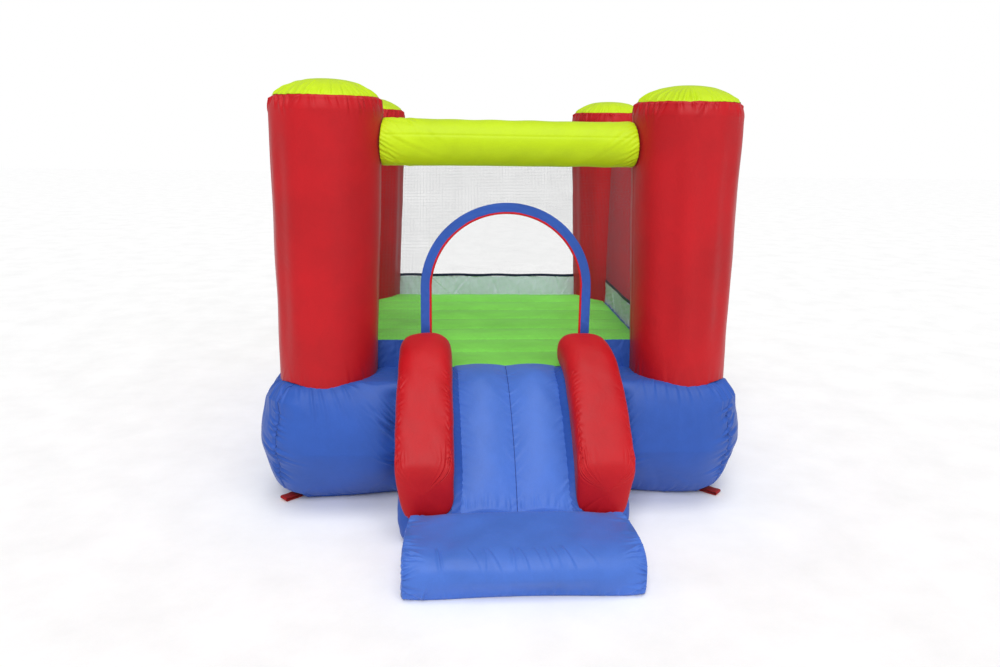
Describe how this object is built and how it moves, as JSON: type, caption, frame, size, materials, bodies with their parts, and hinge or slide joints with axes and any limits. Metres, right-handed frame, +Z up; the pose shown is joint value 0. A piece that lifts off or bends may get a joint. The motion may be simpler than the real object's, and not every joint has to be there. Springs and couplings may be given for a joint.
{
  "type": "inflatable bounce house",
  "caption": "Air-filled bounce house with corner posts, cross beams, net walls, an arched doorway and a front slide with a landing pad.",
  "frame": {"origin": "bottom centre of the whole object's box, on the ground", "axes": "+Z up, +X to the right seen from the doorway side, +Y from the slide towards the rear wall, so the slide faces -Y"},
  "size_m": [2.1, 3, 1.7457],
  "materials": {
    "red_fabric": "woven, slight sheen",
    "lime_fabric": "woven, slight sheen",
    "blue_fabric": "woven, slight sheen",
    "slide_blue_fabric": "coated, satin",
    "green_fabric": "woven, matte",
    "grey_fabric": "woven, matte",
    "navy_binding": "webbing tape",
    "edge_blue": "binding tape",
    "net_mesh": "open mesh",
    "red_piping": "piping",
    "red_webbing": "webbing",
    "white_nylon": "uncoated nylon",
    "black_nylon": "moulded nylon",
    "zinc": "enamelled"
  },
  "bodies": {
    "house": {"anchor_tabs": "red_webbing", "base_bottom_sheet": "blue_fabric", "base_edge_binding": "edge_blue", "base_front_panel": "blue_fabric", "base_rear_panel": "blue_fabric", "base_side_panel_left": "blue_fabric", "base_side_panel_right": "blue_fabric", "bounce_floor": "green_fabric", "cross_beam_front": "lime_fabric", "cross_beam_rear": "lime_fabric", "doorway_arch": "blue_fabric", "doorway_piping": "red_piping", "floor_baffle_1": "white_nylon", "floor_baffle_2": "white_nylon", "floor_baffle_3": "white_nylon", "floor_baffle_4": "white_nylon", "floor_baffle_5": "white_nylon", "floor_baffle_6": "white_nylon", "inlet_sleeve": "blue_fabric", "inlet_strap": "black_nylon", "inlet_strap_buckle": "black_nylon", "landing_pad": "slide_blue_fabric", "net_front": "net_mesh", "net_hem_left": "navy_binding", "net_hem_right": "navy_binding", "net_left": "net_mesh", "net_rear": "net_mesh", "net_right": "net_mesh", "post_cap_front_left": "lime_fabric", "post_cap_front_right": "lime_fabric", "post_cap_rear_left": "lime_fabric", "post_cap_rear_right": "lime_fabric", "post_front_left": "red_fabric", "post_front_right": "red_fabric", "post_rear_left": "red_fabric", "post_rear_right": "red_fabric", "skirt_binding_left": "navy_binding", "skirt_binding_rear": "navy_binding", "skirt_binding_right": "navy_binding", "skirt_front_left": "blue_fabric", "skirt_front_right": "blue_fabric", "skirt_left": "grey_fabric", "skirt_rear": "grey_fabric", "skirt_right": "grey_fabric", "slide_bed": "slide_blue_fabric", "slide_body": "blue_fabric", "slide_rail_left": "red_fabric", "slide_rail_right": "red_fabric", "slide_riser_left": "slide_blue_fabric", "slide_riser_right": "slide_blue_fabric", "slide_web": "white_nylon", "zip_patch": "blue_fabric", "zip_tapes": "black_nylon", "zip_teeth": "black_nylon"},
    "anchor_loop_front_left": {"anchor_loop_front_left": "red_webbing"},
    "anchor_loop_front_right": {"anchor_loop_front_right": "red_webbing"},
    "anchor_loop_rear_left": {"anchor_loop_rear_left": "red_webbing"},
    "anchor_loop_rear_right": {"anchor_loop_rear_right": "red_webbing"},
    "zip_slider": {"zip_slider": "zinc"},
    "zip_pull_tab": {"zip_pull_tab": "zinc"}
  },
  "joints": [
    {"name": "anchor_loop_front_left_lift", "type": "hinge", "parent": "house", "child": "anchor_loop_front_left", "pos_m": [-0.89441, -0.63022, 0.0025], "axis": [-0.6691, 0.7431, 0], "range_deg": [0, 25]},
    {"name": "anchor_loop_front_right_lift", "type": "hinge", "parent": "house", "child": "anchor_loop_front_right", "pos_m": [0.89441, -0.63022, 0.0025], "axis": [-0.6691, -0.7431, 0], "range_deg": [0, 25]},
    {"name": "anchor_loop_rear_left_lift", "type": "hinge", "parent": "house", "child": "anchor_loop_rear_left", "pos_m": [-0.89441, 1.08022, 0.0025], "axis": [0.6691, 0.7431, 0], "range_deg": [0, 25]},
    {"name": "anchor_loop_rear_right_lift", "type": "hinge", "parent": "house", "child": "anchor_loop_rear_right", "pos_m": [0.89441, 1.08022, 0.0025], "axis": [0.6691, -0.7431, 0], "range_deg": [0, 25]},
    {"name": "zip_slide", "type": "slide", "parent": "house", "child": "zip_slider", "axis": [1, 0, 0], "range_m": [0, 0.276]},
    {"name": "pull_tab_swing", "type": "hinge", "parent": "zip_slider", "child": "zip_pull_tab", "pos_m": [0.222, 1.3485, 0.28], "axis": [1, 0, 0], "range_deg": [0, 110]}
  ]
}
